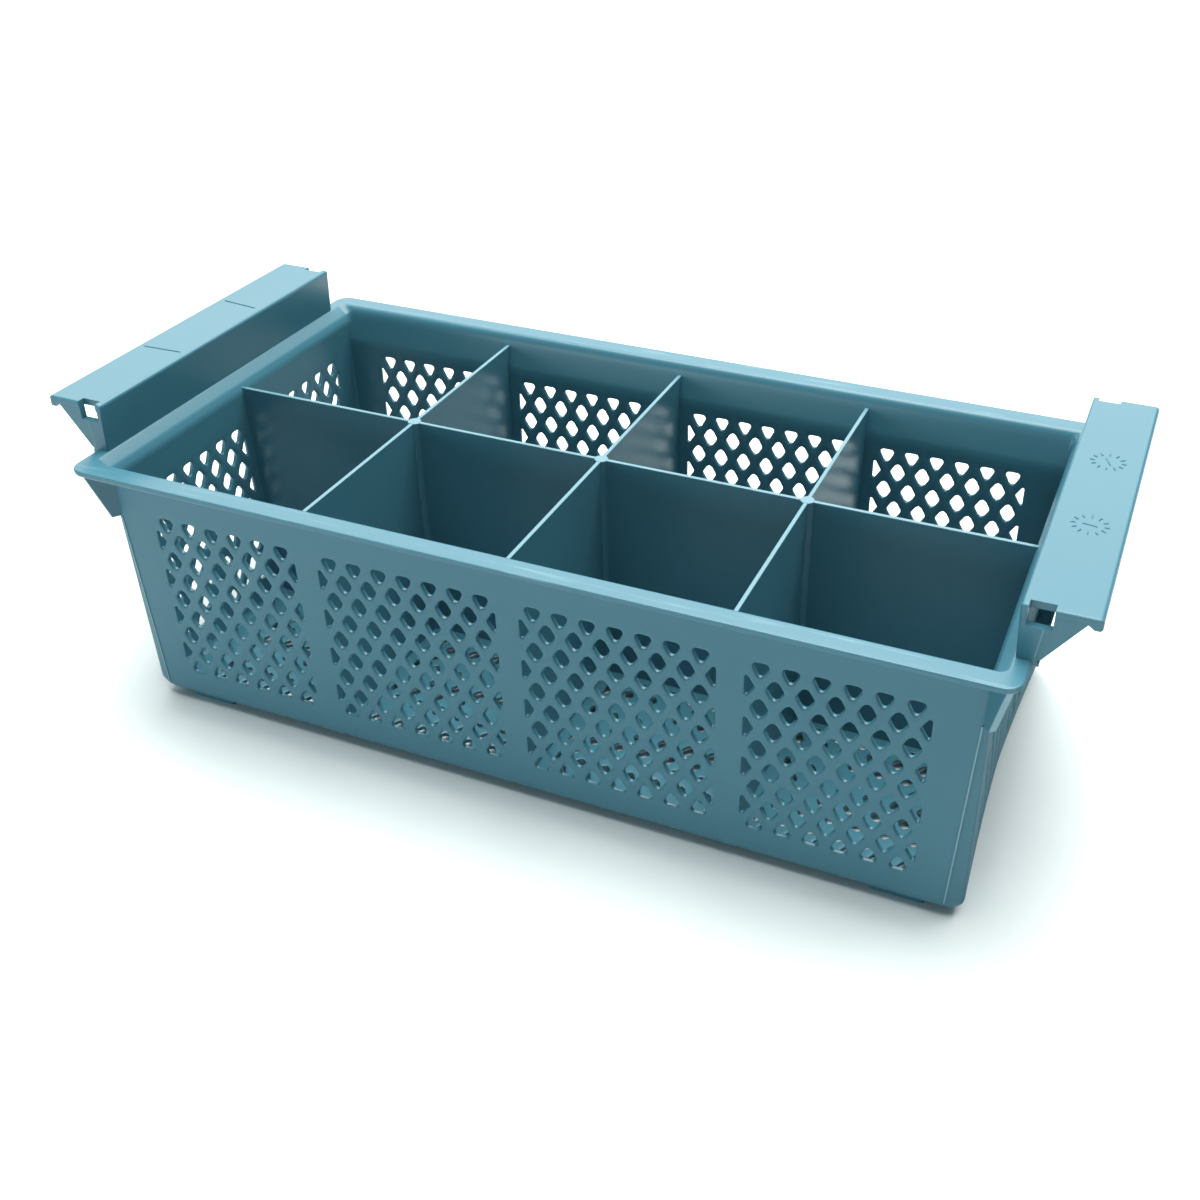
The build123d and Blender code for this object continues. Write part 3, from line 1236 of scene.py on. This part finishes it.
class Value:
    """A shader value: arithmetic on it adds Math nodes to its graph."""

    def __init__(self, graph: Graph, socket: bpy.types.NodeSocket) -> None:
        """Wrap an output socket of a graph."""
        self.graph, self.socket = graph, socket

    def math(self, operation: str, first: Any, second: Any = 0.0) -> Value:
        """Return the result of a Math node on two values or numbers."""
        return self.graph.add("ShaderNodeMath", {"operation": operation}, {0: first, 1: second})

    def __add__(self, other: Any) -> Value:
        """Return self plus other."""
        return self.math("ADD", self, other)

    def __radd__(self, other: Any) -> Value:
        """Return other plus self."""
        return self.math("ADD", other, self)

    def __sub__(self, other: Any) -> Value:
        """Return self less other."""
        return self.math("SUBTRACT", self, other)

    def __rsub__(self, other: Any) -> Value:
        """Return other less self."""
        return self.math("SUBTRACT", other, self)

    def __mul__(self, other: Any) -> Value:
        """Return self times other."""
        return self.math("MULTIPLY", self, other)

    def __rmul__(self, other: Any) -> Value:
        """Return other times self."""
        return self.math("MULTIPLY", other, self)

    def absolute(self) -> Value:
        """Return the size of the value without its sign."""
        return self.math("ABSOLUTE", self)

    def sign(self) -> Value:
        """Return 1 above nought and -1 below it."""
        return self.math("SIGN", self)

    def above(self, span: Pair) -> Value:
        """Return a smooth share that is 0 below a span and 1 above it."""
        return self.graph.add(
            "ShaderNodeMapRange", {"interpolation_type": "SMOOTHSTEP"},
            {"Value": self, "From Min": span[0], "From Max": span[1]},
        )

    def below(self, span: Pair) -> Value:
        """Return a smooth share that is 1 below a span and 0 above it."""
        return 1.0 - self.above(span)


class Graph:
    """The node tree of one material."""

    def __init__(self, name: str) -> None:
        """Make an empty material.

        Args:
            name: Name of the material.
        """
        self.material = bpy.data.materials.new(name)
        self.material.use_nodes = True
        self.tree = self.material.node_tree
        self.tree.nodes.clear()

    def add(self, kind: str, settings: dict[str, Any] | None = None, inputs: dict[Any, Any] | None = None,
            output: Any = 0) -> Value:
        """Add a node.

        Args:
            kind: The node's type.
            settings: Its properties, which are set first.
            inputs: Numbers, colours or values for its sockets, by name or number.
            output: Name or number of the socket that is returned.

        Returns:
            The chosen output.
        """
        node = self.tree.nodes.new(kind)
        for name, setting in (settings or {}).items():
            setattr(node, name, setting)
        for name, given in (inputs or {}).items():
            if isinstance(given, Value):
                self.tree.links.new(given.socket, node.inputs[name])
            else:
                node.inputs[name].default_value = given
        return Value(self, node.outputs[output])

    def parts(self, vector: Value) -> tuple[Value, Value, Value]:
        """Return the X, Y and Z parts of a vector.

        Args:
            vector: The vector.

        Returns:
            The three values.
        """
        across = self.add("ShaderNodeSeparateXYZ", inputs={"Vector": vector})
        outputs = across.socket.node.outputs
        return across, Value(self, outputs["Y"]), Value(self, outputs["Z"])

    def noise(self, spot: Value, scale: float, detail: float) -> Value:
        """Return a Noise Texture's value at a place."""
        return self.add("ShaderNodeTexNoise", inputs={"Vector": spot, "Scale": scale, "Detail": detail})

    def blend(self, share: Value, first: Any, second: Any) -> Value:
        """Return the colour between two colours by a share."""
        inputs = {"Factor": share, "A": first, "B": second}
        return self.add("ShaderNodeMix", {"data_type": "RGBA"}, inputs, output="Result")

    def surface(self, inputs: dict[str, Any]) -> bpy.types.Material:
        """Close the graph with a Principled shader.

        Args:
            inputs: Numbers, colours or values for the shader's sockets, by name.

        Returns:
            The material.
        """
        shader = self.add("ShaderNodeBsdfPrincipled", inputs=inputs)
        target = self.tree.nodes.new("ShaderNodeOutputMaterial")
        self.tree.links.new(shader.socket, target.inputs["Surface"])
        return self.material


@dataclass(frozen=True)
class HighlightsAndScuffs:
    """Where the moulding is coloured lighter, in metres of Object coordinates, and how much each place
    shows: painted highlights on the corner ridges, the webs' outer edges, the grips' parting lines and the
    dividers' tops, and real scuffs streaking the rim's top.

    A pair is the span over which a smooth share passes between 0 and 1, but for the two lines, which are
    their place along the basket at height 0 and their lean.
    """

    line_half: Pair = (0.0001, 0.0004)
    ridge: float = 0.75
    ridge_line: Pair = (0.17664, 0.045)
    ridge_draft: float = 0.01288
    ridge_out: Pair = (0.08722, 0.08732)
    ridge_head: Pair = (0.0940, 0.0950)
    web: float = 0.6
    web_foot: Triple = (0.18203, 0.08721, 0.095)
    web_facing: Triple = (0.581, 0.814, 0.337)
    web_out: Pair = (0.0038, 0.0042)
    web_low: Pair = (0.0945, 0.0955)
    web_high: Pair = (0.1174, 0.1180)
    streak: float = 0.26
    streak_scale: Triple = (25.0, 420.0, 25.0)
    streak_detail: float = 3.0
    streak_share: Pair = (0.56, 0.74)
    streak_low: Pair = (0.1195, 0.1205)
    streak_out: Pair = (0.0900, 0.0930)
    parting: float = 0.5
    parting_line: Pair = (0.17842, 0.12)
    parting_out: Pair = (0.0812, 0.0816)
    parting_low: Pair = (0.1222, 0.1232)
    parting_high: Pair = (0.1334, 0.1338)
    top: float = 0.3
    top_low: Pair = (0.1150, 0.1152)
    top_high: Pair = (0.1156, 0.1158)
    top_out: Pair = (0.0880, 0.0885)
    top_along: Pair = (0.1790, 0.1800)

    def on_line(self, along: Value, height: Value, line: Pair) -> Value:
        """Return the share of a fine leaning line."""
        return (along - (line[0] + height * line[1])).absolute().below(self.line_half)

    def share(self, graph: Graph, spot: Value) -> Value:
        """Return it: painted highlights on the ridges, the webs' outer edges, the grips' parting lines and
        the dividers' tops, and real scuffs on the rim.

        Args:
            graph: The material's graph.
            spot: Object coordinates.

        Returns:
            A share from 0 to 1.
        """
        across, deep, height = graph.parts(spot)
        along, out = across.absolute(), deep.absolute()
        # painted highlight: a bright line down each corner ridge, standing in for light caught by its edge
        ridge = self.on_line(along, height, self.ridge_line) * height.below(self.ridge_head)
        ridge = ridge * (out - height * self.ridge_draft).above(self.ridge_out)
        # painted highlight along each corner web's slanting outer edge
        (foot_x, foot_y, foot_z), (to_x, to_y, to_z) = self.web_foot, self.web_facing
        web = (along - foot_x) * to_x + (out - foot_y) * to_y - (height - foot_z) * to_z
        web = web.above(self.web_out) * height.above(self.web_low) * height.below(self.web_high)
        # real scuffs: fine streaks along the rim's top
        stretched = graph.add(
            "ShaderNodeVectorMath", {"operation": "MULTIPLY"}, {0: spot, 1: self.streak_scale})
        streak = graph.noise(stretched, 1.0, self.streak_detail).above(self.streak_share)
        streak = streak * height.above(self.streak_low) * out.above(self.streak_out)
        # painted highlight along the step's parting line at each end of the grips
        parting = self.on_line(along, height, self.parting_line) * out.above(self.parting_out)
        parting = parting * height.above(self.parting_low) * height.below(self.parting_high)
        # painted highlight on the tops of the dividers
        top = height.above(self.top_low) * height.below(self.top_high)
        top = top * out.below(self.top_out) * along.below(self.top_along)
        # painted highlights and real rim scuffs summed into one share
        highlight_and_scuff = ridge * self.ridge + web * self.web + streak * self.streak
        return highlight_and_scuff + parting * self.parting + top * self.top


@dataclass(frozen=True)
class MouldedPlastic:
    """Blue-grey polypropylene straight from the tool: satin, faintly uneven, finely grained, with painted
    highlights on some edges and on the dividers' tops, and real scuffs on the rim.

    The outer faces of the ends and of the long walls are more matte. Pairs are the spans, in metres or in
    parts of the normal, over which that passes between 0 and 1.
    """

    colour: Triple = (0.0445, 0.1505, 0.202)
    shade: Triple = (0.0405, 0.1395, 0.190)
    # lighter colour used for the painted highlights and for the real scuffs
    highlight_and_scuff: Triple = (0.23, 0.38, 0.43)
    highlights_and_scuffs: HighlightsAndScuffs = HighlightsAndScuffs()
    roughness: float = 0.26
    cloud_rough: float = 0.06
    grain_rough: float = 0.03
    cloud_scale: float = 14.0
    cloud_detail: float = 3.0
    grain_scale: float = 900.0
    grain_detail: float = 2.0
    grain: float = 0.05
    grain_height: float = 0.0002
    refraction: float = 1.45
    facing: Pair = (0.5, 0.9)
    end_matte: float = 0.5
    end_along: Pair = (0.174, 0.177)
    end_top: Pair = (0.137, 0.139)
    side_matte: float = 0.22
    side_out: Pair = (0.0835, 0.0855)
    side_top: Pair = (0.111, 0.115)

    def matte(self, graph: Graph, spot: Value) -> Value:
        """Return how much roughness the outer faces of the ends and of the long walls add.

        Args:
            graph: The material's graph.
            spot: Object coordinates.

        Returns:
            The roughness to add.
        """
        across, deep, height = graph.parts(spot)
        end_facing, side_facing, _ = graph.parts(graph.add("ShaderNodeTexCoord", output="Normal"))
        end = (end_facing * across.sign()).above(self.facing)
        end = end * across.absolute().above(self.end_along) * height.below(self.end_top)
        side = (side_facing * deep.sign()).above(self.facing)
        side = side * deep.absolute().above(self.side_out) * height.below(self.side_top)
        return end * self.end_matte + side * self.side_matte

    def build(self) -> bpy.types.Material:
        """Make the material on Object coordinates.

        Returns:
            The material.
        """
        graph = Graph("moulded_plastic")
        spot = graph.add("ShaderNodeTexCoord", output="Object")
        cloud = graph.noise(spot, self.cloud_scale, self.cloud_detail)
        fine = graph.noise(spot, self.grain_scale, self.grain_detail)
        plain = graph.blend(cloud, (*self.shade, 1.0), (*self.colour, 1.0))
        # painted highlights and real scuffs lighten the colour here
        colour = graph.blend(self.highlights_and_scuffs.share(graph, spot), plain, (*self.highlight_and_scuff, 1.0))
        uneven = self.roughness + cloud * self.cloud_rough + fine * self.grain_rough
        bump = {"Strength": self.grain, "Distance": self.grain_height, "Height": fine}
        return graph.surface({
            "Base Color": colour, "Roughness": uneven + self.matte(graph, spot), "IOR": self.refraction,
            "Normal": graph.add("ShaderNodeBump", inputs=bump, output="Normal"),
        })


@dataclass(frozen=True)
class SoftLight:
    """A soft oblong light that looks at a point, in metres and watts."""

    name: str
    place: Triple
    aim: Triple
    size: Pair
    power: float
    tint: Triple

    def build(self) -> None:
        """Make the light."""
        data = bpy.data.lights.new(self.name, "AREA")
        data.shape, data.energy, data.color = "RECTANGLE", self.power, self.tint
        data.size, data.size_y = self.size
        light = bpy.data.objects.new(self.name, data)
        light.location = self.place
        light.rotation_euler = (Vector(self.aim) - Vector(self.place)).to_track_quat("-Z", "Y").to_euler()
        bpy.context.scene.collection.objects.link(light)


@dataclass(frozen=True)
class Studio:
    """A pale floor, faintly blue surroundings, two soft lights from above and a low one from the front."""

    surround: float = 0.165
    surround_tint: Triple = (0.76, 0.96, 1.0)
    floor_colour: Triple = (0.70, 0.757, 0.775)
    floor_roughness: float = 0.7
    floor_half: float = 4000.0
    floor_lines: int = 9
    lights: tuple[SoftLight, ...] = (
        SoftLight("key", (0.08, 0.20, 1.44), (0.0, 0.0, 0.05), (1.46, 1.44), 60.5, (1.0, 0.99, 0.95)),
        SoftLight("back", (-0.68, 1.7, 1.5), (0.0, 0.0, 0.1), (3.3, 1.8), 46.6, (1.0, 0.99, 0.95)),
        SoftLight("fill", (-1.2, -1.95, 0.31), (0.0, 0.0, 0.06), (2.0, 0.5), 17.5, (0.76, 0.98, 1.0)),
    )

    def build(self) -> None:
        """Make the floor, the surroundings and the lights."""
        world = bpy.data.worlds.new("studio")
        world.use_nodes = True
        back = world.node_tree.nodes["Background"]
        back.inputs["Color"].default_value = (*self.surround_tint, 1.0)
        back.inputs["Strength"].default_value = self.surround
        bpy.context.scene.world = world
        bpy.context.scene.view_settings.view_transform = "Standard"
        self.add_floor()
        for light in self.lights:
            light.build()

    def add_floor(self) -> None:
        """Add the floor as a wide flat grid."""
        lines = np.linspace(-self.floor_half, self.floor_half, self.floor_lines)
        across, deep = np.meshgrid(lines, lines)
        sheet = Sheet()
        sheet.grid(np.stack([across, deep, np.zeros_like(deep)], axis=-1))
        floor = sheet.piece("floor")
        paper = {"Base Color": (*self.floor_colour, 1.0), "Roughness": self.floor_roughness}
        floor.data.materials.append(Graph("floor_paper").surface(paper))


@dataclass(frozen=True)
class PhotoCamera:
    """The photograph's camera, as solved from its perspective, with its lens in pixels of the frame."""

    place: Triple = (221.613, -472.238, 396.668)
    yaw: float = 22.4846
    pitch: float = 32.684
    focal: float = 1408.083
    centre: Pair = (658.894, 564.888)
    frame: float = 1200.0
    sensor: float = 36.0
    clip: Pair = (0.01, 50.0)

    def build(self) -> None:
        """Make the camera and give it to the scene."""
        data = bpy.data.cameras.new("photo_camera")
        data.sensor_width = self.sensor
        data.lens = self.focal / self.frame * self.sensor
        data.shift_x = (self.frame / 2 - self.centre[0]) / self.frame
        data.shift_y = (self.centre[1] - self.frame / 2) / self.frame
        data.clip_start, data.clip_end = self.clip
        yaw, pitch = math.radians(self.yaw), math.radians(self.pitch)
        right = Vector((math.cos(yaw), math.sin(yaw), 0.0))
        level = Vector((-math.sin(yaw), math.cos(yaw), 0.0))
        ahead = level * math.cos(pitch) - Vector((0.0, 0.0, math.sin(pitch)))
        up = right.cross(ahead)
        camera = bpy.data.objects.new("photo_camera", data)
        turn = Matrix((right, up, -ahead)).transposed().to_4x4()
        camera.matrix_world = Matrix.Translation(Vector(self.place) * MM) @ turn
        bpy.context.scene.collection.objects.link(camera)
        bpy.context.scene.camera = camera


def main() -> None:
    """Load the frame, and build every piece."""
    logging.basicConfig(level=logging.INFO, format="%(name)s: %(message)s")
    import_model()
    shell = Shell(BodyForm(), RimForm())
    makers = [
        shell, BasePlate(shell), Dividers(shell), Handle(Hand.RIGHT), Handle(Hand.LEFT), GripRelief(),
        CornerWebs(shell), Feet(),
    ]
    plastic = MouldedPlastic().build()
    for maker in makers:
        piece = maker.build()
        piece.data.materials.append(plastic)
        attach(piece, "root")
        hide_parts("basket")
        LOG.info("%s: %d faces", piece.name, len(piece.data.polygons))
    Studio().build()
    PhotoCamera().build()


if __name__ == "__main__":
    main()
